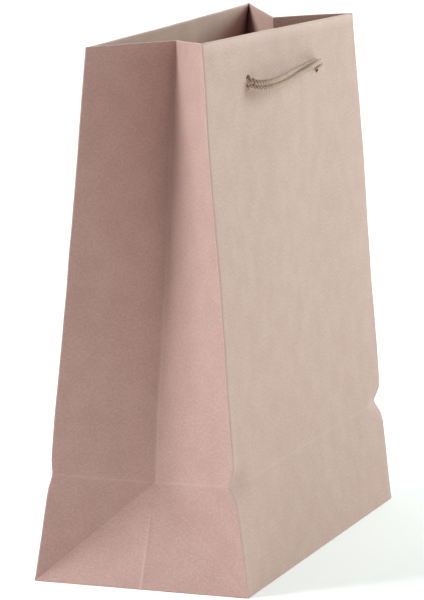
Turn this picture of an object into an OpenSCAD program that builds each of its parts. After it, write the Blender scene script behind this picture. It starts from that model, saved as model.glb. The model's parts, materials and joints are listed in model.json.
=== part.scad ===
// Kraft paper gift bag with twisted cord handles.
// It stands on its folded bottom with the mouth half open and the side gussets folded in.
// The origin is under the middle of the bottom. X runs along the front, +Y goes to the back, +Z goes up.

/* [Bag] */
// Width of the front and back faces
bag_w = 225; // [180:1:320]
// Length of a face from the bottom fold to the rim
bag_h = 240; // [210:1:340]
// Depth of the bottom
bag_d = 100; // [90:1:110]
// Thickness drawn for one layer of paper
paper_t = 0.3; // [0.2:0.05:0.4]

/* [Stance] */
// Height of the level crease above the bottom fold
crease_h = 49; // [45:1:52]
// Inward lean of the front below the crease, in degrees
front_foot_lean = 7.6; // [7:0.1:10]
// Inward lean of the back below the crease, in degrees
back_foot_lean = 8.4; // [8:0.1:12]
// Inward lean of the front above the crease, in degrees
front_lean = 4.85; // [4.2:0.05:5.1]
// Inward lean of the back above the crease, in degrees
back_lean = 5.15; // [4.6:0.05:5.4]
// How far the triangle at the foot of each gusset tips inward, in degrees
triangle_tilt = 27.5; // [24:0.5:31]
// How far each gusset folds inward at the rim
gusset_fold = 43; // [40:0.5:45]

/* [Top edge] */
// Depth of the paper turned in at the rim
hem_h = 32; // [30:1:45]
// Thickness of the stiffening card held under the turned-in paper
card_t = 0.8; // [0.5:0.1:1]
// Width of the stiffening card
card_w = 208; // [150:1:210]

/* [Handles] */
// Distance between the two handle holes of one face
hole_pitch = 101; // [90:1:110]
// How far both handles stand off the middle of the bag
handle_shift = -2.9; // [-5:0.1:5]
// Distance of the handle holes below the rim
hole_drop = 21; // [18:1:24]
// Diameter of a handle hole
hole_d = 7; // [6.6:0.1:8]
// Diameter of one strand of the handle cord
cord_d = 2.4; // [2:0.1:2.4]
// Diameter of the knot at each end inside the bag
knot_d = 9; // [7:0.5:10]

/* [Bottom] */
// Thickness of the loose card that stiffens the bottom
bottom_card_t = 0.8; // [0.5:0.1:1.2]

/* [Hidden] */
$fn = 48;

// Gap left between two facets of the folded sheet, measured from their shared crease
crease_gap = 0.6;
half_w = bag_w / 2;
half_d = bag_d / 2;
upper_h = bag_h - crease_h;

// Places of the level creases: [y, z]
front_crease = [-half_d + crease_h * sin(front_foot_lean), crease_h * cos(front_foot_lean)];
back_crease = [half_d - crease_h * sin(back_foot_lean), crease_h * cos(back_foot_lean)];
// Tip of the left base triangle, and the left gusset's centre crease at the rim
triangle_tip = [-half_w + crease_h * sin(triangle_tilt), 0.7, crease_h * cos(triangle_tilt)];
gusset_top = [-half_w + gusset_fold, -0.8, bag_h - 2.5];

// A gusset half turns about a line just inside the face that it is folded from
fold_inset = 1.2;
fold_side_gap = 0.5;
// The halves stop short of their centre crease, so that both can turn: at the rim and at the foot
centre_gap_top = 0.7;
centre_gap_foot = 7.5;
// Height of the halves' lower edge above the level crease
foot_gap = 1.2;
// Levels of a gusset half as shares of its height: the last three are its hem's too
gusset_levels = [0, 0.17, 0.34, 0.51, 0.68, 0.84, 0.92, 1];
gusset_hem_levels = [0.84, 0.92, 1];
hem_offset = 0.1;

// Bottom flaps, inside the foot of the bag
flap_x = half_w - 1.5;
flap_y = half_d - 0.8;
flap_overlap = 12;
bottom_card_margin = 3.5;

// Middle line of the doubled handle cord outside the front face, from the left hole to the right:
// [along the face from the handle's middle, out of the face, above the holes, quarter turns of the pair]
handle_route = [
    [-50.4, 2, 0.6, 0], [-50.1, 3.4, -0.2, 0], [-48.1, 5.4, -0.7, 0], [-44.1, 7.2, -0.8, 0],
    [-37.6, 8.3, -0.8, 0], [-29.6, 8.5, -0.5, 0.05], [-21.1, 8.5, -0.1, 0.15], [-13.1, 8.2, 0.4, 0.25],
    [-4.1, 7.6, 0.8, 0.4], [6.9, 7, 1.3, 0.55], [17.9, 6.4, 1.9, 0.7], [27.9, 5.5, 2.4, 0.85],
    [35.9, 4.5, 2.5, 0.95], [42, 3.5, 2.4, 0.9], [45.2, 2.9, 2, 0.8],
];
strand_offset = cord_d / 2 + 0.05;
// Middle line of a doubled cord tail inside the bag: [along the face, into the bag, above the hole]
tail_route = [
    [0, 0.6, 0], [0, 2.8, 0], [0, 5, -0.9], [0, 6.8, -2.8], [0, 7.6, -6], [0, 8.1, -14],
    [0, 9.3, -32], [0, 10.8, -55], [0, 12.4, -80], [0, 14.2, -106],
];
knot_place = [0, 14.6, -110.2];

kraft = "#c9b3a4";
kraft_side = "#c4a696";
card_grey = "#a39684";
cord_tan = "#b7a38c";

// ---- Places on the two faces above the level crease ----

// Point on the front face: x, distance into the bag, distance up the face from the crease
function front_point(x, inward, up) = [
    x,
    front_crease[0] + inward * cos(front_lean) + up * sin(front_lean),
    front_crease[1] - inward * sin(front_lean) + up * cos(front_lean),
];
// The same for the back face
function back_point(x, inward, up) = [
    x,
    back_crease[0] - inward * cos(back_lean) - up * sin(back_lean),
    back_crease[1] - inward * sin(back_lean) + up * cos(back_lean),
];

// Frames of the faces: X along the face, +Y into the bag, Z up the face from the level crease
module on_front() {
    translate([0, front_crease[0], front_crease[1]])
        rotate([-front_lean, 0, 0])
            children();
}

module on_back() {
    translate([0, back_crease[0], back_crease[1]])
        rotate([back_lean, 0, 0])
            mirror([0, 1, 0])
                children();
}

// ---- Flat and folded paper ----

function unit(v) = v / norm(v);

// Corner b of a flat facet, moved in from its two edges by gap
function inset_corner(a, b, c, gap) =
    let (u = unit(a - b), w = unit(c - b))
        b + (u + w) * gap / norm(cross(u, w));

// Three-cornered facet of paper; the corners run anticlockwise seen from outside the bag
module facet(a, b, c) {
    inward = unit(cross(c - a, b - a)) * paper_t;
    outer = [
        inset_corner(c, a, b, crease_gap),
        inset_corner(a, b, c, crease_gap),
        inset_corner(b, c, a, crease_gap),
    ];
    inner = [for (p = outer) p + inward];
    polyhedron(
        points = concat(outer, inner),
        faces = [[0, 2, 1], [3, 4, 5], [0, 1, 4, 3], [1, 2, 5, 4], [2, 0, 3, 5]]
    );
}

// Point between two points
function between(a, b, share) = a + (b - a) * share;

// Strip of paper between an outer fold and a centre crease, both given as [foot, top], at some levels.
// side is 1 where the strip's inner side is on the right of the way from fold to crease, else -1.
module folded_strip(fold, centre, levels, offset, side) {
    n = len(levels);
    rows = [for (s = levels) [between(fold[0], fold[1], s), between(centre[0], centre[1], s)]];
    along = fold[1] - fold[0];
    normals = [for (r = rows) unit(cross(r[1] - r[0], along)) * side];
    near = [for (i = [0 : n - 1]) each [for (p = rows[i]) p + normals[i] * offset]];
    far = [for (i = [0 : n - 1]) each [for (p = rows[i]) p + normals[i] * (offset + paper_t)]];
    m = 2 * n;
    skin = [for (i = [0 : n - 2]) each [[2 * i, 2 * i + 1, 2 * i + 3], [2 * i, 2 * i + 3, 2 * i + 2]]];
    back_skin = [for (t = skin) [t[2] + m, t[1] + m, t[0] + m]];
    rim = concat(
        [for (i = [0 : n - 2]) [2 * i, 2 * i + 2]],
        [[m - 2, m - 1]],
        [for (i = [n - 2 : -1 : 0]) [2 * i + 3, 2 * i + 1]],
        [[1, 0]]
    );
    edges = [for (e = rim) each [[e[0], e[1], e[1] + m], [e[0], e[1] + m, e[0] + m]]];
    all_faces = concat(skin, back_skin, edges);
    turned = [for (f = all_faces) [f[2], f[1], f[0]]];
    polyhedron(points = concat(near, far), faces = side > 0 ? turned : all_faces);
}

// ---- Bottom ----

// Flap that tapers at 45 degrees from a long edge at y = -flap_y
module long_flap(level) {
    depth = flap_y + flap_overlap;
    translate([0, 0, level])
        linear_extrude(paper_t)
            polygon([
                [-flap_x, -flap_y], [flap_x, -flap_y],
                [flap_x - depth, -flap_y + depth], [-flap_x + depth, -flap_y + depth],
            ]);
}

module front_bottom_flap() {
    color(kraft) long_flap(0);
}

module back_bottom_flap() {
    color(kraft) mirror([0, 1, 0]) long_flap(paper_t);
}

// Flap that is tucked in under the other two, at the left
module side_flap() {
    translate([0, 0, 2 * paper_t])
        linear_extrude(paper_t)
            polygon([[-flap_x, -flap_y], [-flap_x + flap_y - 4, -4], [-flap_x + flap_y - 4, 4], [-flap_x, flap_y]]);
}

module left_bottom_flap() {
    color(kraft_side) side_flap();
}

module right_bottom_flap() {
    color(kraft_side) mirror([1, 0, 0]) side_flap();
}

module bottom_card() {
    card_x = half_w - bottom_card_margin;
    card_y = half_d - bottom_card_margin;
    color(card_grey)
        translate([-card_x, -card_y, 3 * paper_t])
            cube([2 * card_x, 2 * card_y, bottom_card_t]);
}

// ---- Foot of the bag, below the level crease ----

module foot_panel(lean) {
    width = bag_w - 2 * crease_gap;
    translate([0, -half_d, 0])
        rotate([-lean, 0, 0])
            translate([-width / 2, 0, 0.1])
                cube([width, paper_t, crease_h - crease_gap]);
}

module front_foot_panel() {
    color(kraft) foot_panel(front_foot_lean);
}

module back_foot_panel() {
    color(kraft) mirror([0, 1, 0]) foot_panel(back_foot_lean);
}

module base_triangle() {
    facet([-half_w, half_d, 0], [-half_w, -half_d, 0], triangle_tip);
}

module front_corner_facet() {
    facet([-half_w, -half_d, 0], [-half_w, front_crease[0], front_crease[1]], triangle_tip);
}

module back_corner_facet() {
    facet([-half_w, back_crease[0], back_crease[1]], [-half_w, half_d, 0], triangle_tip);
}

module left_base_triangle() {
    color(kraft_side) base_triangle();
}

module right_base_triangle() {
    color(kraft_side) mirror([1, 0, 0]) base_triangle();
}

module left_front_corner_facet() {
    color(kraft_side) front_corner_facet();
}

module right_front_corner_facet() {
    color(kraft_side) mirror([1, 0, 0]) front_corner_facet();
}

module left_back_corner_facet() {
    color(kraft_side) back_corner_facet();
}

module right_back_corner_facet() {
    color(kraft_side) mirror([1, 0, 0]) back_corner_facet();
}

// ---- Front and back faces, drawn in the frame of a face ----

module handle_holes(depth) {
    for (side = [-1, 1])
        translate([handle_shift + side * hole_pitch / 2, -1, upper_h - hole_drop])
            rotate([-90, 0, 0])
                cylinder(d = hole_d, h = depth + 2);
}

// Layer of paper or card with the two handle holes: width, lowest and highest level, depth in the stack
module face_layer(width, low, high, depth, thickness) {
    difference() {
        translate([-width / 2, depth, low])
            cube([width, thickness, high - low]);
        handle_holes(depth + thickness);
    }
}

module face_panel() {
    color(kraft) face_layer(bag_w, crease_gap, upper_h, 0, paper_t);
}

module stiffening_card() {
    color(card_grey) face_layer(card_w, upper_h - hem_h + 2, upper_h - paper_t, paper_t, card_t);
}

module turned_in_hem() {
    color(kraft) face_layer(card_w, upper_h - hem_h, upper_h, paper_t + card_t, paper_t);
}

module front_panel() {
    on_front() face_panel();
}

module front_stiffening_card() {
    on_front() stiffening_card();
}

module front_turned_in_hem() {
    on_front() turned_in_hem();
}

module back_panel() {
    on_back() face_panel();
}

module back_stiffening_card() {
    on_back() stiffening_card();
}

module back_turned_in_hem() {
    on_back() turned_in_hem();
}

// ---- Gussets above the level crease; drawn at the left and mirrored to the right ----

fold_x = -half_w + fold_side_gap;
front_fold = [front_point(fold_x, fold_inset, foot_gap), front_point(fold_x, fold_inset, upper_h - 0.5)];
back_fold = [back_point(fold_x, fold_inset, foot_gap), back_point(fold_x, fold_inset, upper_h - 0.5)];

// Point that stops short of goal by gap on the way from start
function short_of(start, goal, gap) = goal + unit(start - goal) * gap;

// Centre edge of a half whose outer fold is given
function centre_edge(fold) = [
    short_of(fold[0], [triangle_tip[0], triangle_tip[1], fold[0][2]], centre_gap_foot),
    short_of(fold[1], gusset_top, centre_gap_top),
];

module gusset_front_half() {
    folded_strip(front_fold, centre_edge(front_fold), gusset_levels, 0, 1);
}

module gusset_back_half() {
    folded_strip(back_fold, centre_edge(back_fold), gusset_levels, 0, -1);
}

module gusset_front_hem() {
    folded_strip(front_fold, centre_edge(front_fold), gusset_hem_levels, paper_t + hem_offset, 1);
}

module gusset_back_hem() {
    folded_strip(back_fold, centre_edge(back_fold), gusset_hem_levels, paper_t + hem_offset, -1);
}

module left_gusset_front_half() {
    color(kraft_side) gusset_front_half();
}

module left_gusset_back_half() {
    color(kraft_side) gusset_back_half();
}

module right_gusset_front_half() {
    color(kraft_side) mirror([1, 0, 0]) gusset_front_half();
}

module right_gusset_back_half() {
    color(kraft_side) mirror([1, 0, 0]) gusset_back_half();
}

module left_gusset_front_hem() {
    color(kraft) gusset_front_hem();
}

module left_gusset_back_hem() {
    color(kraft) gusset_back_hem();
}

module right_gusset_front_hem() {
    color(kraft) mirror([1, 0, 0]) gusset_front_hem();
}

module right_gusset_back_hem() {
    color(kraft) mirror([1, 0, 0]) gusset_back_hem();
}

// ---- Handle cords ----

sides = 8;

// Tube with flat ends along route; wide and high are the radii of its section, wide along side_way
module tube(route, wide, high, side_way) {
    n = len(route);
    ways = [for (i = [0 : n - 1]) unit(route[min(i + 1, n - 1)] - route[max(i - 1, 0)])];
    rings = [
        for (i = [0 : n - 1])
            let (across = unit(side_way - ways[i] * (side_way * ways[i])), other = cross(ways[i], across))
                for (k = [0 : sides - 1])
                    let (turn = 360 * (k + 0.5) / sides)
                        route[i] + across * wide * cos(turn) + other * high * sin(turn)
    ];
    walls = [
        for (i = [0 : n - 2], k = [0 : sides - 1])
            let (a = i * sides + k, b = i * sides + (k + 1) % sides)
                each [[a, b + sides, b], [a, a + sides, b + sides]]
    ];
    first = [for (k = [0 : sides - 1]) k];
    last = [for (k = [sides - 1 : -1 : 0]) (n - 1) * sides + k];
    polyhedron(points = rings, faces = concat(walls, [first], [last]));
}

// Middle lines of the doubled handle cord and of one strand; which is 1 for the upper strand, else -1
pair_line = [for (p = handle_route) [p[0], -p[1], p[2]]];
last_point = len(pair_line) - 1;

function strand_route(which) = [
    for (i = [0 : last_point])
        let (
            way = pair_line[min(i + 1, last_point)] - pair_line[max(i - 1, 0)],
            across = unit(cross([0, 0, 1], way)),
            turn = 90 * handle_route[i][3]
        )
            pair_line[i] + which * strand_offset * (across * sin(turn) + [0, 0, cos(turn)])
];

module handle_strand(which) {
    color(cord_tan)
        translate([handle_shift, 0, upper_h - hole_drop])
            tube(strand_route(which), cord_d / 2, cord_d / 2, [0, 0, 1]);
}

module front_handle_upper_strand() {
    on_front() handle_strand(1);
}

module front_handle_lower_strand() {
    on_front() handle_strand(-1);
}

module back_handle_upper_strand() {
    on_back() handle_strand(1);
}

module back_handle_lower_strand() {
    on_back() handle_strand(-1);
}

// Both strands of a tail side by side, inside the bag below the hole at side -1 or 1
module cord_tail(side) {
    color(cord_tan)
        translate([handle_shift + side * hole_pitch / 2, 0, upper_h - hole_drop])
            tube(tail_route, cord_d + 0.05, cord_d / 2, [1, 0, 0]);
}

module cord_knot(side) {
    color(cord_tan)
        translate([handle_shift + side * hole_pitch / 2, 0, upper_h - hole_drop])
            translate(knot_place)
                sphere(d = knot_d);
}

module front_left_cord_tail() {
    on_front() cord_tail(-1);
}

module front_right_cord_tail() {
    on_front() cord_tail(1);
}

module back_left_cord_tail() {
    on_back() cord_tail(-1);
}

module back_right_cord_tail() {
    on_back() cord_tail(1);
}

module front_left_knot() {
    on_front() cord_knot(-1);
}

module front_right_knot() {
    on_front() cord_knot(1);
}

module back_left_knot() {
    on_back() cord_knot(-1);
}

module back_right_knot() {
    on_back() cord_knot(1);
}

front_bottom_flap();
back_bottom_flap();
left_bottom_flap();
right_bottom_flap();
bottom_card();
front_foot_panel();
back_foot_panel();
left_base_triangle();
right_base_triangle();
left_front_corner_facet();
left_back_corner_facet();
right_front_corner_facet();
right_back_corner_facet();
front_panel();
front_stiffening_card();
front_turned_in_hem();
back_panel();
back_stiffening_card();
back_turned_in_hem();
left_gusset_front_half();
left_gusset_back_half();
right_gusset_front_half();
right_gusset_back_half();
left_gusset_front_hem();
left_gusset_back_hem();
right_gusset_front_hem();
right_gusset_back_hem();
front_handle_upper_strand();
front_handle_lower_strand();
back_handle_upper_strand();
back_handle_lower_strand();
front_left_cord_tail();
front_right_cord_tail();
back_left_cord_tail();
back_right_cord_tail();
front_left_knot();
front_right_knot();
back_left_knot();
back_right_knot();
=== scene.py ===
import bpy
import bmesh
import json
import math
import numpy as np
from mathutils import Matrix, Vector, noise


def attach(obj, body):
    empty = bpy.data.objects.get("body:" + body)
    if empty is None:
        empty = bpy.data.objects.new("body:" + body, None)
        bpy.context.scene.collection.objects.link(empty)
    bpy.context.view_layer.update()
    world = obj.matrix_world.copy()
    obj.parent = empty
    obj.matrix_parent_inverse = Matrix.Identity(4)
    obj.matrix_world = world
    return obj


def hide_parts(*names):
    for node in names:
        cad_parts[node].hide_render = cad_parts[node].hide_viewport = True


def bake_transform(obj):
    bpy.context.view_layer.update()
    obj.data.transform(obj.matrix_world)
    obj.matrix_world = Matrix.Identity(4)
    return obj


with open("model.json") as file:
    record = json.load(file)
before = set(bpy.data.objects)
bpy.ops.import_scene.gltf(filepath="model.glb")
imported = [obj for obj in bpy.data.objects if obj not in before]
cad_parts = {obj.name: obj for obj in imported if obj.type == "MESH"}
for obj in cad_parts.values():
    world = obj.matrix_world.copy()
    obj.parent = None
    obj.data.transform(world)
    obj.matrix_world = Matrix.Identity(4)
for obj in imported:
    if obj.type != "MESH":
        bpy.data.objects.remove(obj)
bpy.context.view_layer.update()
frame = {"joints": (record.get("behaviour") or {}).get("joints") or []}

# ---- Camera ----
# A long lens a little above the rim, looking at the left front edge of the bag, so that the left gusset
# and the front face are both seen and the upright folds stay almost parallel.

MM = 0.001
bag_h = 240.0
azimuth = math.radians(-71.3)
elevation = math.radians(8.93)
roll = math.radians(0.3)
lens_distance = 7.25 * bag_h
aim_height = 0.5 * bag_h
aim_right = -5.3
aim_up = -7.7

look_back = Vector((
    math.sin(azimuth) * math.cos(elevation),
    -math.cos(azimuth) * math.cos(elevation),
    math.sin(elevation),
))
level_right = Vector((math.cos(azimuth), math.sin(azimuth), 0.0))
level_up = look_back.cross(level_right)
cam_right = level_right * math.cos(roll) + level_up * math.sin(roll)
cam_up = look_back.cross(cam_right)
cam_place = look_back * lens_distance + Vector((0, 0, aim_height)) + cam_right * aim_right + cam_up * aim_up

camera = bpy.data.objects.new("camera", bpy.data.cameras.new("camera"))
bpy.context.scene.collection.objects.link(camera)
camera.data.sensor_width = 36.0
camera.data.lens = 226.1
camera.data.clip_start = 0.05
camera.data.clip_end = 50.0
turn = Matrix((cam_right, cam_up, look_back)).transposed()
camera.matrix_world = Matrix.Translation(cam_place * MM) @ turn.to_4x4()
bpy.context.scene.camera = camera

# ---- Handle cords ----
# Twisted cotton cord, three plies of tan yarn. Each face has one doubled handle: both strands cross the
# face from hole to hole and go in through the punched holes.

joints = {j["name"]: j for j in frame["joints"]}
half_w = 112.5
half_d = 50.0
crease_h = 49.0
hole_x = 50.5
handle_shift = -2.9
hole_drop = 21.0
cord_d = 2.4
strand_offset = cord_d / 2 + 0.05

FACES = {
    "front": {"side": -1, "foot_lean": math.radians(7.6), "lean": math.radians(4.85), "body": "front_face"},
    "back": {"side": 1, "foot_lean": math.radians(8.4), "lean": math.radians(5.15), "body": "back_face"},
}
for face_name, hinge in (("front", "mouth_closing"), ("back", "back_face_lean")):
    FACES[face_name]["crease"] = np.array(joints[hinge]["pos_m"]) / MM

# Middle line of the doubled cord outside a face: along it from the handle's middle, out of it, above the
# holes, quarter turns of the pair. The first and last two places lie in the holes, past the CAD strands.
handle_route = [
    (-50.5, -0.8, 0.2, 0), (-50.5, 0.4, 0.4, 0),
    (-50.4, 2, 0.6, 0), (-50.1, 3.4, -0.2, 0), (-48.1, 5.4, -0.7, 0), (-44.1, 7.2, -0.8, 0),
    (-37.6, 8.3, -0.8, 0), (-29.6, 8.5, -0.5, 0.05), (-21.1, 8.5, -0.1, 0.15), (-13.1, 8.2, 0.4, 0.25),
    (-4.1, 7.6, 0.8, 0.4), (6.9, 7, 1.3, 0.55), (17.9, 6.4, 1.9, 0.7), (27.9, 5.5, 2.4, 0.85),
    (35.9, 4.5, 2.5, 0.95), (42, 3.5, 2.4, 0.9), (45.2, 2.9, 2, 0.8),
    (48.8, 1.1, 0.9, 0.4), (50.4, -0.8, 0.2, 0.1),
]
# Middle line of a doubled tail inside the bag: along the face, into the bag, above the hole
tail_route = [
    (0, 0.6, 0), (0, 2.8, 0), (0, 5, -0.9), (0, 6.8, -2.8), (0, 7.6, -6), (0, 8.1, -14),
    (0, 9.3, -32), (0, 10.8, -55), (0, 12.4, -80), (0, 14.2, -106),
]
knot_place = (0, 14.6, -110.2)
knot_r = 3.1
cord_lay = 4.2


def on_face(face, x, inward, up):
    """World place, in mm, of a point given along a face, into the bag and up the face from its crease."""
    f = FACES[face]
    x, inward, up = np.broadcast_arrays(*(np.asarray(c, float) for c in (x, inward, up)))
    y = f["crease"][1] - f["side"] * (inward * math.cos(f["lean"]) + up * math.sin(f["lean"]))
    z = f["crease"][2] - inward * math.sin(f["lean"]) + up * math.cos(f["lean"])
    return np.stack([x, y, z], -1)


def unit(v):
    return v / np.maximum(np.linalg.norm(v, axis=-1, keepdims=True), 1e-12)


def smooth_line(points, step):
    """Even points along a rounded line through the given ones."""
    p = np.asarray(points, float)
    p = np.vstack([2 * p[0] - p[1], p, 2 * p[-1] - p[-2]])
    fine = []
    for i in range(1, len(p) - 2):
        t = np.linspace(0, 1, 24, endpoint=False)[:, None]
        a, b, c, d = p[i - 1], p[i], p[i + 1], p[i + 2]
        fine.append(0.5 * (2 * b + (c - a) * t + (2 * a - 5 * b + 4 * c - d) * t**2
                           + (3 * b - a - 3 * c + d) * t**3))
    fine = np.vstack(fine + [p[-2][None]])
    along = np.concatenate([[0], np.cumsum(np.linalg.norm(np.diff(fine[:, :3], axis=0), axis=1))])
    even = np.linspace(0, along[-1], max(2, int(round(along[-1] / step)) + 1))
    return np.stack([np.interp(even, along, fine[:, k]) for k in range(p.shape[1])], -1)


def strand_line(face, which, step=0.3):
    """Middle line of the upper (1) or lower (-1) strand outside a face, in world mm."""
    pair = smooth_line(handle_route, step)
    middle = pair[:, :3] * (1, -1, 1)
    across = unit(np.cross((0, 0, 1), np.gradient(middle, axis=0)))
    angle = pair[:, 3:4] * math.pi / 2
    line = middle + which * strand_offset * (across * np.sin(angle) + np.array((0, 0, 1)) * np.cos(angle))
    return on_face(face, handle_shift + line[:, 0], line[:, 1], line[:, 2] + bag_h - crease_h - hole_drop)


def tail_line(face, side, which, step=0.4):
    """Middle line of one strand of a tail, on the left (-1) or right (1) of its pair."""
    pair = smooth_line(tail_route, step)
    x = handle_shift + side * hole_x + which * strand_offset
    return on_face(face, x, pair[:, 1], pair[:, 2] + bag_h - crease_h - hole_drop)


def new_object(name, verts, faces):
    """Mesh object from mm coordinates."""
    mesh = bpy.data.meshes.new(name)
    mesh.from_pydata([tuple(v) for v in np.asarray(verts, float) * MM], [], [tuple(f) for f in faces])
    mesh.polygons.foreach_set("use_smooth", [True] * len(mesh.polygons))
    obj = bpy.data.objects.new(name, mesh)
    bpy.context.scene.collection.objects.link(obj)
    return obj


def carried_frames(line):
    """Two directions across a line that turn with it as little as they can."""
    way = unit(np.gradient(line, axis=0))
    first = np.cross(way[0], (0.0, 0.0, 1.0))
    if np.linalg.norm(first) < 0.1:
        first = np.cross(way[0], (1.0, 0.0, 0.0))
    first = unit(first)
    across = [first]
    for w in way[1:]:
        a = across[-1] - w * np.dot(across[-1], w)
        across.append(unit(a))
    across = np.array(across)
    return across, np.cross(way, across)


def twisted_cord(name, line, radius, pitch, around, plies=3):
    """Tube along line whose section is the outline of round plies that turn once in each pitch."""
    across, other = carried_frames(line)
    along = np.concatenate([[0], np.cumsum(np.linalg.norm(np.diff(line, axis=0), axis=1))])
    angle = np.arange(around) * 2 * math.pi / around
    ply_r = radius / (1 + 1 / math.sin(math.pi / plies))
    ply_out = radius - ply_r
    turned = angle[None, :] - 2 * math.pi * along[:, None] / pitch
    off = (turned + math.pi / plies) % (2 * math.pi / plies) - math.pi / plies
    reach = ply_out * np.cos(off) + np.sqrt(np.maximum(ply_r**2 - (ply_out * np.sin(off))**2, 0))
    ring = (across[:, None, :] * np.cos(angle)[None, :, None]
            + other[:, None, :] * np.sin(angle)[None, :, None])
    verts = (line[:, None, :] + ring * reach[:, :, None]).reshape(-1, 3)
    n = len(line)
    faces = []
    for i in range(n - 1):
        for k in range(around):
            a, b = i * around + k, i * around + (k + 1) % around
            faces.append((a, b, b + around, a + around))
    faces.append(tuple(range(around))[::-1])
    faces.append(tuple((n - 1) * around + k for k in range(around)))
    obj = new_object(name, verts, faces)
    uv = obj.data.uv_layers.new(name="yarn")
    place = np.zeros((len(obj.data.loops), 2))
    index = np.zeros(len(obj.data.loops), int)
    obj.data.loops.foreach_get("vertex_index", index)
    place[:, 0] = (turned / (2 * math.pi)).reshape(-1)[index] * plies
    place[:, 1] = np.repeat(along, around)[index]
    uv.data.foreach_set("uv", place.ravel())
    return obj


def to_linear(code):
    """Linear colour of an sRGB hex code."""
    parts = [int(code[i:i + 2], 16) / 255 for i in (1, 3, 5)]
    return [c / 12.92 if c <= 0.04045 else ((c + 0.055) / 1.055) ** 2.4 for c in parts] + [1.0]


def add_node(tree, kind, settings=None, **inputs):
    """One node. settings are its properties, inputs its sockets: each a value or another node's output."""
    node = tree.nodes.new(kind)
    for key, value in (settings or {}).items():
        setattr(node, key, value)
    for key, value in inputs.items():
        numbered = key[0] == "i" and key[1:].isdigit()
        socket = node.inputs[int(key[1:]) if numbered else key.replace("_", " ")]
        if isinstance(value, bpy.types.NodeSocket):
            tree.links.new(value, socket)
        else:
            socket.default_value = value
    return node


def new_material(name):
    material = bpy.data.materials.new(name)
    material.use_nodes = True
    tree = material.node_tree
    tree.nodes.clear()
    shader = tree.nodes.new("ShaderNodeBsdfPrincipled")
    output = tree.nodes.new("ShaderNodeOutputMaterial")
    tree.links.new(shader.outputs[0], output.inputs[0])
    return material, tree, shader


def ramp(tree, factor, stops):
    """Colour ramp through (position, hex colour) stops."""
    node = add_node(tree, "ShaderNodeValToRGB", None, Fac=factor)
    elements = node.color_ramp.elements
    while len(elements) > len(stops):
        elements.remove(elements[-1])
    while len(elements) < len(stops):
        elements.new(0.5)
    for element, (position, code) in zip(elements, stops):
        element.position = position
        element.color = to_linear(code)
    return node.outputs["Color"]


# Cotton yarn: matt, soft, with fine fibres that run along each ply, and painted shade that darkens the
# grooves between the plies.
cotton_cord, tree, shader = new_material("tan_cotton_cord")
yarn_uv = add_node(tree, "ShaderNodeTexCoord").outputs["UV"]
ply_place = add_node(tree, "ShaderNodeSeparateXYZ", None, Vector=yarn_uv)
ply_share = add_node(tree, "ShaderNodeMath", {"operation": "FRACT"}, i0=ply_place.outputs["X"])
ply_side = add_node(tree, "ShaderNodeMath", {"operation": "PINGPONG"}, i0=ply_share.outputs[0], i1=0.5)
groove_shade_mask = add_node(tree, "ShaderNodeMapRange", None, Value=ply_side.outputs[0], From_Min=0.3, From_Max=0.5)
fibre_map = add_node(tree, "ShaderNodeMapping", None, Vector=yarn_uv, Scale=(9.0, 1.2, 1.0))
fibres = add_node(tree, "ShaderNodeTexNoise", None, Vector=fibre_map.outputs[0], Scale=1.0, Detail=3.0)
yarn_colour = ramp(tree, fibres.outputs["Fac"], [(0.3, "#a98b7a"), (0.5, "#c6ab97"), (0.7, "#dac2ae")])
# Painted shade: the grooves between the plies are multiplied toward dark brown #7c6253.
painted_groove_shade = add_node(tree, "ShaderNodeMix", {"data_type": "RGBA", "blend_type": "MULTIPLY"})
tree.links.new(groove_shade_mask.outputs[0], painted_groove_shade.inputs["Factor"])
tree.links.new(yarn_colour, painted_groove_shade.inputs[6])
painted_groove_shade.inputs[7].default_value = to_linear("#7c6253")
tree.links.new(painted_groove_shade.outputs[2], shader.inputs["Base Color"])
shader.inputs["Roughness"].default_value = 0.85
shader.inputs["Specular IOR Level"].default_value = 0.25
shader.inputs["Sheen Weight"].default_value = 0.25
shader.inputs["Sheen Roughness"].default_value = 0.5
fibre_bump = add_node(tree, "ShaderNodeBump", None, Strength=0.5, Distance=0.00012,
                      Height=fibres.outputs["Fac"])
tree.links.new(fibre_bump.outputs[0], shader.inputs["Normal"])

for face in FACES:
    handle_body = face + "_handle"
    for which, level in ((1, "upper"), (-1, "lower")):
        line = strand_line(face, which)
        name = f"{face}_handle_{level}_strand"
        strand = twisted_cord(name + "_cord", line, cord_d / 2, pitch=cord_lay, around=30)
        strand.data.materials.append(cotton_cord)
        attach(strand, handle_body)
        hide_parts(name)

# ---- Cord tails and knots ----
# Behind each hole the two strands hang down inside the bag side by side, and are tied together in one
# overhand knot that keeps the handle from slipping out. The knot is drawn as a closed, tight trefoil.


def overhand_knot(name, centre, radius):
    """Closed trefoil of twisted cord, drawn tight, that hangs below a tail's two strands."""
    t = np.linspace(0, 2 * math.pi, 181)
    loop = np.stack([np.sin(t) + 2 * np.sin(2 * t), np.cos(t) - 2 * np.cos(2 * t), -1.3 * np.sin(3 * t)], -1)
    line = centre + loop * radius / 3 * (1, 0.85, 1.1)
    return twisted_cord(name, line, cord_d / 2 * 1.1, pitch=cord_lay, around=18)


for face in FACES:
    for side, side_name in ((-1, "left"), (1, "right")):
        up = bag_h - crease_h - hole_drop
        centre = on_face(face, handle_shift + side * hole_x, knot_place[1], knot_place[2] + up)
        knot = overhand_knot(f"{face}_{side_name}_overhand_knot", centre, knot_r)
        knot.data.materials.append(cotton_cord)
        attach(knot, FACES[face]["body"])
        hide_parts(f"{face}_{side_name}_knot")
        for which, strand_name in ((-1, "a"), (1, "b")):
            line = tail_line(face, side, which)
            tail = twisted_cord(f"{face}_{side_name}_tail_strand_{strand_name}", line, cord_d / 2,
                                pitch=cord_lay, around=18)
            tail.data.materials.append(cotton_cord)
            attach(tail, FACES[face]["body"])
            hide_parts(f"{face}_{side_name}_cord_tail")

# ---- Kraft paper ----
# One blank of unbleached kraft, about 120 g/m2, folded and glued. Below are its shape when it stands,
# the drawing of its sheets, and its finish.

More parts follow.
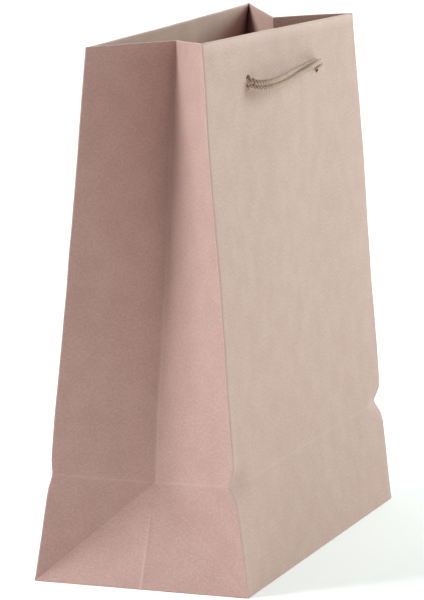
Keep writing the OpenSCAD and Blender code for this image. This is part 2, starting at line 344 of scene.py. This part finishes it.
paper_t = 0.3
fold_r = 0.45
wrap_past = 1.0
triangle_tilt = math.radians(27.5)
gusset_tip = np.array((-half_w + crease_h * math.sin(triangle_tilt), 0.7,
                       crease_h * math.cos(triangle_tilt)))
gusset_top = np.array((-half_w + 43.0, -0.8, bag_h - 2.5))
# A gusset half takes this much of the flat blank, and the middle of the back lies this far across it
half_on_blank = 50.5
back_middle = 2 * (half_w + half_on_blank)


def smoothstep(x):
    x = np.clip(x, 0, 1)
    return x * x * (3 - 2 * x)


def face_level(face, v):
    """Distance from the middle plane and height of a face's outer side, v mm up the paper."""
    f = FACES[face]
    bend = 0.8
    above = bend * np.logaddexp(0, (v - crease_h) / bend)
    below = v - above
    y = f["side"] * (half_d - math.sin(f["foot_lean"]) * below - math.sin(f["lean"]) * above)
    z = math.cos(f["foot_lean"]) * below + math.cos(f["lean"]) * above
    return y, z


def face_inward(face, v):
    """Unit direction into the bag from a face, v mm up the paper."""
    f = FACES[face]
    share = smoothstep((v - crease_h + 1) / 2)
    lean = f["foot_lean"] + (f["lean"] - f["foot_lean"]) * share
    return np.stack([0 * lean, -f["side"] * np.cos(lean), -np.sin(lean)], -1)


def corner(face, side, v):
    y, z = face_level(face, v)
    return np.stack([side * half_w + 0 * v, y, z], -1)


def mirrored(p, side):
    """A point given for the left side, or its mirror image for the right one."""
    return p * np.array((-side, 1, 1))


def centre_crease(side, v):
    """Centre crease of a gusset above the level crease; it stays at the triangle's tip below that."""
    share = np.clip((v - crease_h) / (bag_h - crease_h), 0, 1)[..., None]
    return mirrored(gusset_tip + (gusset_top - gusset_tip) * share, side)


def fold(face, side, v):
    """Corner, directions along the face and along the gusset, and the fold's tangent length, at each v."""
    at = corner(face, side, v)
    along_face = np.zeros_like(at)
    along_face[..., 0] = -side
    tip = mirrored(gusset_tip, side)
    low = unit(tip - corner(face, side, np.full_like(v, crease_h)))
    high = unit(centre_crease(side, v) - at)
    along_gusset = np.where((v < crease_h)[..., None], low, high)
    angle = np.arccos(np.clip((along_face * along_gusset).sum(-1), -1, 1))
    radius = fold_r * np.clip(v / 2.0, 0.02, 1)
    tangent = radius / np.tan(angle / 2)
    return at, along_face, along_gusset, angle, radius, tangent


def fold_point(face, side, v, stage):
    """Outer side of an upright fold: stage 0 is flat on the face, 1 to 2 rounds the fold, 3 is on the
    gusset."""
    at, a, b, angle, radius, tangent = fold(face, side, v)
    start = at + a * tangent[..., None]
    end = at + b * tangent[..., None]
    if stage <= 1:
        return start + a * ((1 - stage) * 2.5)
    if stage >= 2:
        past = (stage - 2) * np.minimum(wrap_past, 0.4 * v)
        return end + b * past[..., None]
    middle = at + unit(a + b) * (radius / np.sin(angle / 2))[..., None]
    one, two = start - middle, end - middle
    spread = math.pi - angle
    share = stage - 1
    return middle + (one * np.sin((1 - share) * spread)[..., None]
                     + two * np.sin(share * spread)[..., None]) / np.sin(spread)[..., None]


# The noise takes its offsets from the clock unless it is given a seed
noise.seed_set(7)


def settle(p):
    """Small irregularities of the standing bag, as a shift that depends only on place."""
    p = np.asarray(p, float)
    flat = p.reshape(-1, 3)
    z = flat[:, 2]
    stand = smoothstep(z / 30)
    out = flat.copy()
    wave = np.array([noise.noise_vector(Vector(q / 70)) for q in flat])
    ripple = np.array([noise.noise_vector(Vector(q / 16 + 31)) for q in flat])
    out += stand[:, None] * (wave * (0.5, 1.1, 0.2) + ripple * (0.10, 0.16, 0.03))
    skew = np.clip(flat[:, 0] / half_w, -1, 1) * np.clip(flat[:, 1] / 27, -1, 1)
    lift = (z / bag_h) ** 3 * (0.45 + 1.75 * skew)
    out[:, 2] += lift
    for face, depth in (("front", 3.0), ("back", 0.8)):
        y, level = face_level(face, np.array(crease_h))
        for side in (-1, 1):
            near = np.exp(-((z - level) / 4.5) ** 2 - ((flat[:, 0] - side * half_w) / 16) ** 2
                          - ((flat[:, 1] - y) / 16) ** 2)
            out[:, 1] -= FACES[face]["side"] * depth * near
            out[:, 0] -= side * 0.9 * near
    return out.reshape(p.shape)


def grid_faces(rows, cols, skip=()):
    """Quads of a grid, without those in skipped blocks of (row, row, column, column)."""
    faces = []
    for i in range(rows - 1):
        for j in range(cols - 1):
            if any(r0 <= i < r1 and c0 <= j < c1 for r0, r1, c0, c1 in skip):
                continue
            a = i * cols + j
            faces.append((a, a + 1, a + cols + 1, a + cols))
    return faces


def paper_sheet(name, points, blank, painted_highlight, facing, extra=None, skip=(), thickness=paper_t):
    """Sheet of paper from a grid of outer points. blank is each point's place on the flat blank,
    painted_highlight how much painted highlight makes it paler, facing a direction that its outer side looks
    in (None: away from the middle of the bag), and extra more points and faces."""
    rows, cols = points.shape[:2]
    verts = points.reshape(-1, 3)
    flat = blank.reshape(-1, 2)
    highlight = painted_highlight.reshape(-1)
    faces = grid_faces(rows, cols, skip)
    if extra is not None:
        verts = np.vstack([verts, extra["points"]])
        flat = np.vstack([flat, extra["blank"]])
        highlight = np.concatenate([highlight, extra["painted_highlight"]])
        faces += extra["faces"]
    obj = new_object(name, settle(verts), faces)
    mesh = obj.data
    # The painted highlight is stored as a point attribute for the kraft material.
    attribute = mesh.attributes.new("painted_highlight", "FLOAT", "POINT")
    attribute.data.foreach_set("value", highlight.astype(np.float32))
    uv = mesh.uv_layers.new(name="blank")
    index = np.zeros(len(mesh.loops), int)
    mesh.loops.foreach_get("vertex_index", index)
    uv.data.foreach_set("uv", flat[index].ravel())
    bm = bmesh.new()
    bm.from_mesh(mesh)
    bmesh.ops.remove_doubles(bm, verts=bm.verts, dist=0.004 * MM)
    bmesh.ops.dissolve_degenerate(bm, dist=0.004 * MM, edges=bm.edges)
    bm.normal_update()
    if facing is None:
        outward = sum(f.normal.dot(f.calc_center_median()) * f.calc_area() for f in bm.faces)
    else:
        outward = sum((f.normal * f.calc_area() for f in bm.faces), Vector()).dot(Vector(facing))
    bmesh.ops.delete(bm, geom=[p for p in bm.verts if not p.link_faces], context="VERTS")
    if outward < 0:
        bmesh.ops.reverse_faces(bm, faces=bm.faces)
    bm.to_mesh(mesh)
    bm.free()
    solid = obj.modifiers.new("thickness", "SOLIDIFY")
    solid.thickness = thickness * MM
    solid.offset = -1
    solid.use_even_offset = False
    made = bpy.data.meshes.new_from_object(obj.evaluated_get(bpy.context.evaluated_depsgraph_get()))
    obj.modifiers.clear()
    obj.data = made
    made.name = name
    made.set_sharp_from_angle(angle=math.radians(26))
    return obj


# Kraft paper: unbleached and matt. Clouds of denser pulp, short darker and paler fibres and a fine tooth,
# with a painted highlight that makes folds, the rim and hole edges paler. Fibres are drawn 0.4 mm wide,
# coarser than real, so that they show.
def kraft(name, deep, middle, pale, highlight_colour):
    material, tree, shader = new_material(name)
    blank = add_node(tree, "ShaderNodeUVMap", {"uv_map": "blank"}).outputs[0]
    clouds = add_node(tree, "ShaderNodeTexNoise", None, Vector=blank, Scale=0.075, Detail=4.0, Roughness=0.6)
    grain = add_node(tree, "ShaderNodeTexNoise", None, Vector=blank, Scale=0.9, Detail=3.0, Roughness=0.7)
    along = add_node(tree, "ShaderNodeMapping", None, Vector=blank, Scale=(0.45, 2.4, 1.0))
    fibres = add_node(tree, "ShaderNodeTexNoise", None, Vector=along.outputs[0], Scale=1.0, Detail=2.0)
    tone = add_node(tree, "ShaderNodeMath", {"operation": "MULTIPLY_ADD"}, i0=clouds.outputs["Fac"], i1=0.45,
                    i2=grain.outputs["Fac"])
    mixed = add_node(tree, "ShaderNodeMath", {"operation": "MULTIPLY_ADD"}, i0=fibres.outputs["Fac"], i1=0.4,
                    i2=tone.outputs[0])
    colour = ramp(tree, mixed.outputs[0], [(0.7, deep), (0.925, middle), (1.15, pale)])
    # Painted highlight: the painted_highlight attribute mixes the paper toward a paler colour along folds,
    # the rim and hole edges.
    highlight_share = add_node(tree, "ShaderNodeAttribute", {"attribute_name": "painted_highlight"}).outputs["Fac"]
    paler = add_node(tree, "ShaderNodeMix", {"data_type": "RGBA"})
    tree.links.new(highlight_share, paler.inputs["Factor"])
    tree.links.new(colour, paler.inputs[6])
    paler.inputs[7].default_value = to_linear(highlight_colour)
    tree.links.new(paler.outputs[2], shader.inputs["Base Color"])
    shader.inputs["Roughness"].default_value = 0.8
    shader.inputs["Specular IOR Level"].default_value = 0.3
    tooth = add_node(tree, "ShaderNodeBump", None, Strength=0.4, Distance=0.00005,
                     Height=grain.outputs["Fac"])
    tree.links.new(tooth.outputs[0], shader.inputs["Normal"])
    return material


# The fourth colour is the painted highlight along folds, the rim and hole edges.
unbleached_kraft = kraft("unbleached_kraft_paper", "#af8d83", "#b5938a", "#bb9a90", "#cbb0a6")


def blank_x(face, side, past, on_face=True):
    """Place across the flat blank, from the middle of the front, past mm beyond an upright fold."""
    if face == "front":
        return side * (half_w + past)
    if on_face:
        return -back_middle - side * (half_w + past)
    return side * (back_middle - half_w - past)


def on_blank(face, x):
    """Place across the flat blank of a point x along a face."""
    return x if face == "front" else -back_middle - x


def wall_point(face, x, v, inward=0.0):
    """Point of a face x along it, v up the paper and inward mm behind its outer side."""
    x, v, inward = np.broadcast_arrays(*(np.asarray(c, float) for c in (x, v, inward)))
    y, z = face_level(face, v)
    return np.stack([x, y, z], -1) + face_inward(face, v) * inward[..., None]


fold_stages = (1, 1.25, 1.5, 1.75, 2, 3)


def fold_columns(face, side, v):
    """Columns (points, blank place, painted highlight) from the flat of a face round its upright fold to the
    gusset.
    """
    columns = []
    for stage in fold_stages:
        past = (stage - 1.5) * 0.8 + (0.6 if stage > 2 else 0)
        # The rounded part of the upright fold gets a painted highlight.
        highlight = 0.55 if 1 < stage < 2 else 0.0
        columns.append((fold_point(face, side, v, stage), 0 * v + blank_x(face, side, past), 0 * v + highlight))
    return columns


def edge_of_gusset(face, side, v):
    """Inner edge of a gusset half: its centre crease or, below the level crease, a facet's diagonal."""
    low = corner(face, side, 0 * v)
    share = np.clip(v / crease_h, 0, 1)[..., None]
    diagonal = low + (mirrored(gusset_tip, side) - low) * share
    return np.where((v < crease_h)[..., None], diagonal, centre_crease(side, v))


def gusset_point(face, side, s, v, inward=0.0):
    """Point of a gusset half, s from 0 beside its upright fold to 1 at its inner edge."""
    s = np.asarray(s, float)
    start, end = fold_point(face, side, v, 3), edge_of_gusset(face, side, v)
    at = start + (end - start) * s[..., None]
    if np.any(inward):
        below = fold_point(face, side, v - 1, 3)
        below = below + (edge_of_gusset(face, side, v - 1) - below) * s[..., None]
        normal = unit(np.cross(end - start, at - below))
        normal = normal * np.sign(normal[..., :1] * -side)
        at = at + normal * np.asarray(inward, float)[..., None]
    return at


def from_columns(columns, v):
    """Grids of points, blank places and painted highlight from columns of them."""
    points = np.stack([c[0] for c in columns], 1)
    blank = np.stack([np.stack([c[1], v], -1) for c in columns], 1)
    return points, blank, np.stack([c[2] for c in columns], 1)


# The foot: one ring of paper below the level crease. Each gusset opens flat here into a triangle that
# leans in from the ground, with a facet on each side of it that turns the corner to the big face.

foot_v = np.array([0.4, 1.2, 3, 6, 10, 15, 20, 25, 30, 35, 39, 43, 46, 47.6, 48.4, 49.0])
# Painted highlight: a paler line along the level crease.
crease_highlight = 0.3 * np.exp(-((foot_v - crease_h) / 0.5) ** 2)
flat_x = np.linspace(109.5, -109.5, 57)


facet_s = np.array([0, 0.14, 0.29, 0.43, 0.57, 0.71, 0.86, 0.97, 1])
triangle_t = np.array([0.015, 0.09, 0.18, 0.27, 0.36, 0.44, 0.492, 0.5,
                       0.508, 0.56, 0.64, 0.73, 0.82, 0.91, 0.985])


def foot_gusset(side, order):
    """Columns of a gusset's foot, in order of faces: facet, triangle, facet."""
    columns = []
    v = foot_v
    first, last = order
    for s in facet_s:
        place = blank_x(first, side, 1.2 + s * np.maximum(v * 1.03 - 1.2, 0), False)
        # Painted highlight along the level crease, and along the diagonal crease where a facet meets the
        # triangle.
        highlight = crease_highlight + (0.25 if s == 1 else 0)
        columns.append((gusset_point(first, side, 0 * v + s, v), place, highlight))
    for t in triangle_t:
        a, b = edge_of_gusset(first, side, v), edge_of_gusset(last, side, v)
        near_edge, far_edge = (blank_x(f, side, v * 1.03, False) for f in (first, last))
        place = (1 - t) * near_edge + t * far_edge
        # Painted highlight along the triangle's middle crease.
        middle = 0.6 if abs(t - 0.5) < 0.004 else 0.0
        ridge = np.stack([side * 0.3 * middle * smoothstep((crease_h - v) / 8), 0 * v, 0 * v], -1)
        columns.append((a + (b - a) * t + ridge, place, 0 * v + middle))
    for s in facet_s[::-1]:
        place = blank_x(last, side, 1.2 + s * np.maximum(v * 1.03 - 1.2, 0), False)
        # Painted highlight along the level crease and the facet's diagonal crease.
        highlight = crease_highlight + (0.25 if s == 1 else 0)
        columns.append((gusset_point(last, side, 0 * v + s, v), place, highlight))
    return columns


v = foot_v
ring = foot_gusset(1, ("back", "front"))
ring += fold_columns("front", 1, v)[::-1]
# The faces get a quarter of the painted crease highlight.
ring += [(wall_point("front", x, v), 0 * v + x, crease_highlight * 0.25) for x in flat_x]
ring += fold_columns("front", -1, v)
ring += foot_gusset(-1, ("front", "back"))
ring += fold_columns("back", -1, v)[::-1]
ring += [(wall_point("back", -x, v), 0 * v - back_middle + x, crease_highlight * 0.25) for x in flat_x]
ring += fold_columns("back", 1, v)
foot = paper_sheet("kraft_foot", *from_columns(ring, v), facing=None)
foot.data.materials.append(unbleached_kraft)
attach(foot, "foot")
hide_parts("front_foot_panel", "back_foot_panel", "left_base_triangle", "right_base_triangle",
            "left_front_corner_facet", "left_back_corner_facet", "right_front_corner_facet",
            "right_back_corner_facet")

# ---- Front and back faces ----
# The two big faces of the blank above the level crease. Each wraps round its two upright folds and has
# two handle holes punched through it, 7 mm across and 101 mm apart.

hole_v = bag_h - hole_drop
hole_r = 3.5
hole_block = 7.0
strip_v = np.array([45.8, 47.2, 48.4])
strip_in = np.array([0.85, 0.65, 0.45])


hole_places = (handle_shift - hole_x, handle_shift + hole_x)


def face_columns(half, coarse):
    """Even places across a face, with a finer block round each hole."""
    left, right = (np.linspace(x - hole_block, x + hole_block, 9) for x in hole_places)
    out = np.linspace(-half, left[0], coarse + 1)[:-1]
    middle = np.linspace(left[-1], right[0], 2 * coarse + 1)[1:-1]
    return np.concatenate([out, left, middle, right, np.linspace(right[-1], half, coarse + 1)[1:]])


def punched(xs, rows, hole_row, place, blank_place, first_column=0, columns=None):
    """Blocks to leave out of a grid for the holes, and the rings of points and faces that fill them."""
    columns = columns or len(xs)
    count = len(rows) * columns
    blocks, points, blank, painted_highlight, faces = [], [], [], [], []
    r0 = int(np.argmin(abs(rows - hole_row + hole_block)))
    r1 = int(np.argmin(abs(rows - hole_row - hole_block)))
    for hx in hole_places:
        c0 = int(np.argmin(abs(xs - hx + hole_block)))
        c1 = int(np.argmin(abs(xs - hx - hole_block)))
        loop = [(r0, c) for c in range(c0, c1)] + [(r, c1) for r in range(r0, r1)]
        loop += [(r1, c) for c in range(c1, c0, -1)] + [(r, c0) for r in range(r1, r0, -1)]
        blocks.append((r0, r1, c0 + first_column, c1 + first_column))
        around = len(loop)
        out = np.array([(xs[c], rows[r]) for r, c in loop])
        centre = np.array((hx, hole_row))
        edge = centre + unit(out - centre) * hole_r
        for share in (0, 0.1, 0.35):
            ring = edge + (out - edge) * share
            points.append(place(ring[:, 0], ring[:, 1]))
            blank.append(blank_place(ring[:, 0], ring[:, 1]))
            # The hole's cut edge gets a painted highlight.
            painted_highlight.append(np.full(around, 0.7 if share == 0 else 0.0))
        base = count + 3 * around * (len(blocks) - 1)
        rings = [[base + k * around + i for i in range(around)] for k in range(3)]
        rings.append([r * columns + c + first_column for r, c in loop])
        for inner, outer in zip(rings, rings[1:]):
            for i in range(around):
                j = (i + 1) % around
                faces.append((inner[i], outer[i], outer[j], inner[j]))
    return blocks, {"points": np.vstack(points), "blank": np.vstack(blank),
                    "painted_highlight": np.concatenate(painted_highlight), "faces": faces}


hole_rows = np.linspace(hole_v - hole_block, hole_v + hole_block, 9)
face_v = np.concatenate([strip_v, [49.0, 49.6, 50.4, 52], np.linspace(56, 208, 39), hole_rows,
                         [229.5, 234, 239.3, 239.95]])
xs = face_columns(109.5, 14)
face_in = np.concatenate([strip_in, np.zeros(len(face_v) - 3)])

for face in FACES:
    v = face_v
    # Painted highlight: a faint paler line at the level crease and a paler top edge where the rim folds
    # over.
    crease_and_rim_highlight = 0.15 * np.exp(-((v - crease_h) / 0.9) ** 2) + np.where(v > 238, 0.5, 0)
    sheet = fold_columns(face, -1, v)[::-1]
    sheet += [(wall_point(face, x, v, face_in), 0 * v + on_blank(face, x), crease_and_rim_highlight) for x in xs]
    sheet += fold_columns(face, 1, v)
    n_fold, n = len(fold_stages), len(sheet)
    blocks, extra = punched(
        xs, v, hole_v, lambda x, r: wall_point(face, x, r),
        lambda x, r: np.stack([on_blank(face, x), r], -1), n_fold, n)
    blocks += [(0, 3, 0, n_fold), (0, 3, n - n_fold - 1, n - 1)]
    blocks.append((len(v) - 2, len(v) - 1, n_fold, n - n_fold - 1))
    panel = paper_sheet(f"{face}_kraft_face", *from_columns(sheet, v), extra=extra, skip=blocks,
                        facing=(0, FACES[face]["side"], 0))
    panel.data.materials.append(unbleached_kraft)
    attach(panel, FACES[face]["body"])
    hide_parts(face + "_panel")

# ---- Stiffening cards ----
# A strip of grey board 0.8 mm thick glued behind the rim of each face, inside the turned-in hem. It
# carries the handle holes and shows only as their edge.


# Grey board: recycled pulp, matt and even, with small paler and darker flecks and a fine tooth.
def board(name, colours):
    material, tree, shader = new_material(name)
    blank = add_node(tree, "ShaderNodeUVMap", {"uv_map": "blank"}).outputs[0]
    pulp = add_node(tree, "ShaderNodeTexNoise", None, Vector=blank, Scale=1.1, Detail=4.0, Roughness=0.7)
    tree.links.new(ramp(tree, pulp.outputs["Fac"], colours), shader.inputs["Base Color"])
    shader.inputs["Roughness"].default_value = 0.9
    shader.inputs["Specular IOR Level"].default_value = 0.2
    tooth = add_node(tree, "ShaderNodeBump", None, Strength=0.4, Distance=0.0001, Height=pulp.outputs["Fac"])
    tree.links.new(tooth.outputs[0], shader.inputs["Normal"])
    return material


grey_board = board("matt_grey_pulp_board", [(0.3, "#8b857c"), (0.5, "#a09a90"), (0.7, "#b2ada4")])

card_v = np.concatenate([[209.5], hole_rows, [230, 234, 238.9]])
card_xs = face_columns(104, 8)
for face in FACES:
    v = card_v
    sheet = [(wall_point(face, x, v, 0.33), 0 * v + x, 0 * v) for x in card_xs]
    blocks, extra = punched(card_xs, v, hole_v, lambda x, r: wall_point(face, x, r, 0.33),
                            lambda x, r: np.stack([x, r], -1))
    card = paper_sheet(f"{face}_rim_card", *from_columns(sheet, v), extra=extra, skip=blocks,
                       facing=(0, FACES[face]["side"], 0), thickness=0.75)
    card.data.materials.append(grey_board)
    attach(card, FACES[face]["body"])
    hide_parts(face + "_stiffening_card")

# ---- Turned-in hems of the faces ----
# The rim of the blank, folded over the card and glued down inside the bag, 32 mm deep, with the handle
# holes punched through it as well.

hem_h = 32.0
hem_turn = 2.2
hem_hole = 1 + bag_h - 0.7 - hole_v
hem_q = np.concatenate([np.linspace(0, 1, 9), [2.5, 6, 10], np.linspace(hem_hole - 7, hem_hole + 7, 9),
                        [1 + hem_h - 0.7]])


def hem_point(face, x, q):
    """Outer side of a hem: q from 0 to 1 goes over the rim, and from there on is mm down the inside."""
    x, q = np.asarray(x, float), np.asarray(q, float)
    r = np.minimum(0.7, 0.142 * (half_w - abs(x)))
    over = np.minimum(q, 1) * math.pi
    v = bag_h - r + r * np.sin(over) - np.maximum(q - 1, 0)
    return wall_point(face, x, v, r - r * np.cos(over))


def hem_blank(q):
    return bag_h - 0.7 + hem_turn * np.minimum(q, 1) + np.maximum(q - 1, 0)


hem_xs = face_columns(109.5, 14)
for face in FACES:
    q = hem_q
    # Painted highlight along the fold over the rim.
    highlight = 0.6 * np.exp(-((q - 0.4) / 0.35) ** 2)
    sheet = [(hem_point(face, 0 * q + x, q), 0 * q + on_blank(face, x), highlight) for x in hem_xs]
    blocks, extra = punched(
        hem_xs, q, hem_hole, lambda x, r: hem_point(face, x, r),
        lambda x, r: np.stack([on_blank(face, x), hem_blank(r)], -1))
    hem = paper_sheet(f"{face}_turned_in_rim", *from_columns(sheet, hem_blank(q)), extra=extra, skip=blocks,
                      facing=(0, -FACES[face]["side"], 0))
    hem.data.materials.append(unbleached_kraft)
    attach(hem, FACES[face]["body"])
    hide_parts(face + "_turned_in_hem")

# ---- Gusset halves ----
# The sides of the blank, each creased down its middle and folded into the bag. A half bends at its upright
# fold and twists down to the level crease. Hidden strips behind the creases stand for paper that goes on.

half_v = np.concatenate([strip_v, [49.0, 49.6, 50.6], np.linspace(54, 206, 39), np.linspace(210, 234, 7),
                         [239.65, 239.95]])
half_in = np.concatenate([strip_in, np.zeros(len(half_v) - 3)])
half_s = np.array([0, 0.02, 0.04, 0.08, 0.15, 0.23, 0.31, 0.39, 0.47, 0.55, 0.63, 0.71, 0.79, 0.87,
                   0.94, 0.975, 1])


def place_gusset(obj, node):
    obj.data.materials.append(unbleached_kraft)
    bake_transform(obj)
    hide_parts(node)


for side, side_name in ((-1, "left"), (1, "right")):
    for face in FACES:
        v = half_v
        # Painted highlight along the level crease and, stronger, along the centre crease.
        level_crease_highlight = 0.3 * np.exp(-((v - crease_h) / 0.5) ** 2)
        half = []
        for s in half_s:
            highlight = level_crease_highlight + (0.45 if s == 1 else 0)
            place = 0 * v + blank_x(face, side, 1.2 + s * 49.3, False)
            half.append((gusset_point(face, side, 0 * v + s, v, half_in), place, highlight))
        n, n_rows = len(half_s), len(v)
        blocks = [(n_rows - 2, n_rows - 1, 2, n)]
        if face == "front":
            low = v < crease_h
            for past, deep in ((0.5, 0.4), (1.5, 0.8), (3.0, 1.2)):
                behind = gusset_point("back", side, 1 - past / 50, v, 0 * v + deep)
                edge = edge_of_gusset(face, side, v)
                across = edge + (0, 1, 0) * (past / 3 * (3.0 - edge[:, 1:2]))
                across[:, 0] += -side * (deep + 0.3)
                points = np.where(low[:, None], across, behind)
                half.append((points, 0 * v + blank_x(face, side, half_on_blank + past, False), 0 * v))
            keep = int(np.argmin(abs(v - 206)))
            blocks.append((keep, n_rows - 1, n - 1, n + 2))
        out = np.cross(gusset_point(face, side, np.array(1.0), np.array(150.0))
                       - gusset_point(face, side, np.array(0.0), np.array(150.0)), (0, 0, 1))
        out = out * np.sign(out[0] * side)
        wall = paper_sheet(f"{side_name}_gusset_{face}_half_sheet", *from_columns(half, v),
                           skip=blocks, facing=out)
        place_gusset(wall, f"{side_name}_gusset_{face}_half")

# ---- Turned-in hems of the gussets ----
# The same rim turned in along the gussets, where there is no card, so that the fold is only two papers
# thick. It runs from the upright fold to the centre crease.

gusset_q = np.concatenate([np.linspace(0, 1, 7), [2.5, 6, 12, 18, 24, 28, 1 + hem_h - 0.35]])
for side, side_name in ((-1, "left"), (1, "right")):
    for face in FACES:
        q = gusset_q
        over = np.minimum(q, 1) * math.pi
        v = bag_h - 0.35 + 0.35 * np.sin(over) - np.maximum(q - 1, 0)
        inward = 0.35 - 0.35 * np.cos(over)
        # Painted highlight along the fold over the rim.
        highlight = 0.6 * np.exp(-((q - 0.4) / 0.35) ** 2)
        hem = []
        for s in (0.04, 0.12, 0.2, 0.3, 0.4, 0.5, 0.6, 0.7, 0.8, 0.9, 0.96, 1):
            reach = s + (1.62 * inward / 49 if s == 1 else 0)
            place = 0 * v + blank_x(face, side, 1.2 + s * 49.3, False)
            hem.append((gusset_point(face, side, 0 * v + reach, v, inward), place, highlight))
        blocks = []
        if face == "front":
            for past, deep in ((0.6, 0.9), (1.6, 1.2), (3.0, 1.5)):
                depth = np.minimum(inward, 0.7) / 0.7 * deep
                behind = gusset_point("back", side, 0 * v + 1 - past / 50, v, depth)
                hem.append((behind, 0 * v + blank_x(face, side, half_on_blank + past, False), 0 * v))
            blocks.append((0, 6, 11, 14))
        points, blank, painted_highlight = from_columns(hem, hem_blank(q))
        into = np.cross(points[-1, 11] - points[-1, 0], (0, 0, 1))
        into = into * -np.sign(into[0] * side)
        sheet = paper_sheet(f"{side_name}_gusset_{face}_turned_in_rim", points, blank, painted_highlight, skip=blocks,
                            facing=into)
        place_gusset(sheet, f"{side_name}_gusset_{face}_hem")

# ---- Bottom flaps and bottom card ----
# The foot of the blank folded in: first the two side flaps, then the back flap, and the front flap glued
# over it from below. A loose board lies on them inside and keeps the bottom flat.


def bottom_flap(name, edge, outline, level):
    """Flap from the foot of a wall, whose corners are edge, to outline's two corners at a level."""
    rows, cols = 12, 40
    grid = np.zeros((rows + 5, cols, 3))
    t = np.linspace(0, 1, cols)[:, None]
    foot_line = edge[0] + (edge[1] - edge[0]) * t
    tip_line = outline[0] + (outline[1] - outline[0]) * t
    inward = unit((tip_line.mean(0) - foot_line.mean(0)) * (1, 1, 0))
    for i, angle in enumerate(np.linspace(0, math.pi / 2, 5)):
        grid[i] = foot_line + inward * (0.4 - 0.4 * math.cos(angle)) + (0, 0, -0.4 * math.sin(angle))
    start = grid[4].copy()
    for i in range(rows):
        share = (i + 1) / rows
        grid[5 + i] = start + (tip_line - start) * share
        grid[5 + i, :, 2] = level * smoothstep(share * rows / 2) if level else 0
    grid[:5, :, 2] = np.clip(grid[:5, :, 2], 0, None)
    down = np.concatenate([[0], np.cumsum(np.linalg.norm(np.diff(grid[:, cols // 2], axis=0), axis=1))])
    along = np.linspace(0, np.linalg.norm(edge[1] - edge[0]), cols)
    blank = np.stack(np.broadcast_arrays(along[None, :] - along[-1] / 2, -down[:, None]), -1)
    flap = paper_sheet(name + "_sheet", grid, blank, np.zeros(grid.shape[:2]), facing=(0, 0, -1))
    flap.data.materials.append(unbleached_kraft)
    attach(flap, "foot")
    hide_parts(name)


flap_x, flap_y, flap_depth = 111.0, 49.2, 61.2
for face, level in (("front", 0.0), ("back", 0.3)):
    out = FACES[face]["side"]
    edge = np.array([wall_point(face, x, 0.4) for x in (-flap_x, flap_x)])
    tip_y = out * (flap_y - flap_depth)
    tip = np.array([(-flap_x + flap_depth, tip_y, 0), (flap_x - flap_depth, tip_y, 0)])
    bottom_flap(face + "_bottom_flap", edge, tip, level)
for side, side_name in ((-1, "left"), (1, "right")):
    edge = np.array([(side * (half_w - 0.3), y, 0.4) for y in (-flap_y, flap_y)])
    tip = np.array([(side * (flap_x - flap_y + 4), y, 0) for y in (-4, 4)])
    bottom_flap(side_name + "_bottom_flap", edge, tip, 0.6)

card_x, card_y = half_w - 3.5, half_d - 3.5
card_v = np.linspace(-card_y, card_y, 16)
card_cols = []
for x in np.linspace(-card_x, card_x, 36):
    curl = 0.6 * (x / card_x) ** 4
    across = 0 * card_v + x
    card_cols.append((np.stack([across, card_v, 0 * card_v + 1.72 + curl], -1), across, 0 * card_v))
bottom = paper_sheet("loose_bottom_card", *from_columns(card_cols, card_v), facing=(0, 0, 1), thickness=0.75)
bottom.data.materials.append(grey_board)
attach(bottom, "foot")
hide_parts("bottom_card")

# ---- Floor and studio light ----
# A pale seamless floor. A cool soft light from the front right reaches the front face at a slant, another
# from above the back left reaches into the mouth, and a big light pointing down whitens the floor behind.

reach = 9000
floor_corners = [(-reach, -reach, 0), (reach, -reach, 0), (reach, reach, 0), (-reach, reach, 0)]
floor = new_object("studio_floor", floor_corners, [(0, 1, 2, 3)])
# Matt white paint with speckles too faint to notice; a little light of its own keeps it near white.
floor_paint, tree, shader = new_material("matt_white_floor")
speckle_map = add_node(tree, "ShaderNodeTexCoord").outputs["Object"]
speckle = add_node(tree, "ShaderNodeTexNoise", None, Vector=speckle_map, Scale=3.0, Detail=2.0)
speckled_white = ramp(tree, speckle.outputs["Fac"], [(0.3, "#f6f6f6"), (0.7, "#f9f9f9")])
tree.links.new(speckled_white, shader.inputs["Base Color"])
shader.inputs["Roughness"].default_value = 0.9
shader.inputs["Specular IOR Level"].default_value = 0.1
shader.inputs["Emission Color"].default_value = to_linear("#ffffff")
shader.inputs["Emission Strength"].default_value = 0.15
floor.data.materials.append(floor_paint)


def soft_light(name, direction, distance, size, power, colour):
    """Square light of size m, distance m from the middle of the bag along direction, turned to face it."""
    data = bpy.data.lights.new(name, "AREA")
    data.shape = "SQUARE"
    data.size = size
    data.energy = power
    data.color = to_linear(colour)[:3]
    light = bpy.data.objects.new(name, data)
    bpy.context.scene.collection.objects.link(light)
    way = Vector(direction).normalized()
    light.location = way * distance + Vector((0, 0, 0.12))
    light.rotation_euler = way.to_track_quat("Z", "Y").to_euler()
    return light


soft_light("front_right_softbox", (0.80, -0.58, 0.36), 2.2, 1.1, 54.0, "#e3fff9")
soft_light("back_left_softbox", (-0.52, 0.85, 1.2), 2.0, 0.8, 46.0, "#f2fdff")
wash = soft_light("background_wash", (0.84, 0.28, 0.47), 3.3, 2.6, 36.0, "#ffffff")
wash.rotation_euler = (0, 0, 0)

world = bpy.data.worlds.new("studio_room")
bpy.context.scene.world = world
world.use_nodes = True
world.node_tree.nodes["Background"].inputs["Color"].default_value = to_linear("#fff5f6")
world.node_tree.nodes["Background"].inputs["Strength"].default_value = 0.34
bpy.context.scene.view_settings.view_transform = "Standard"
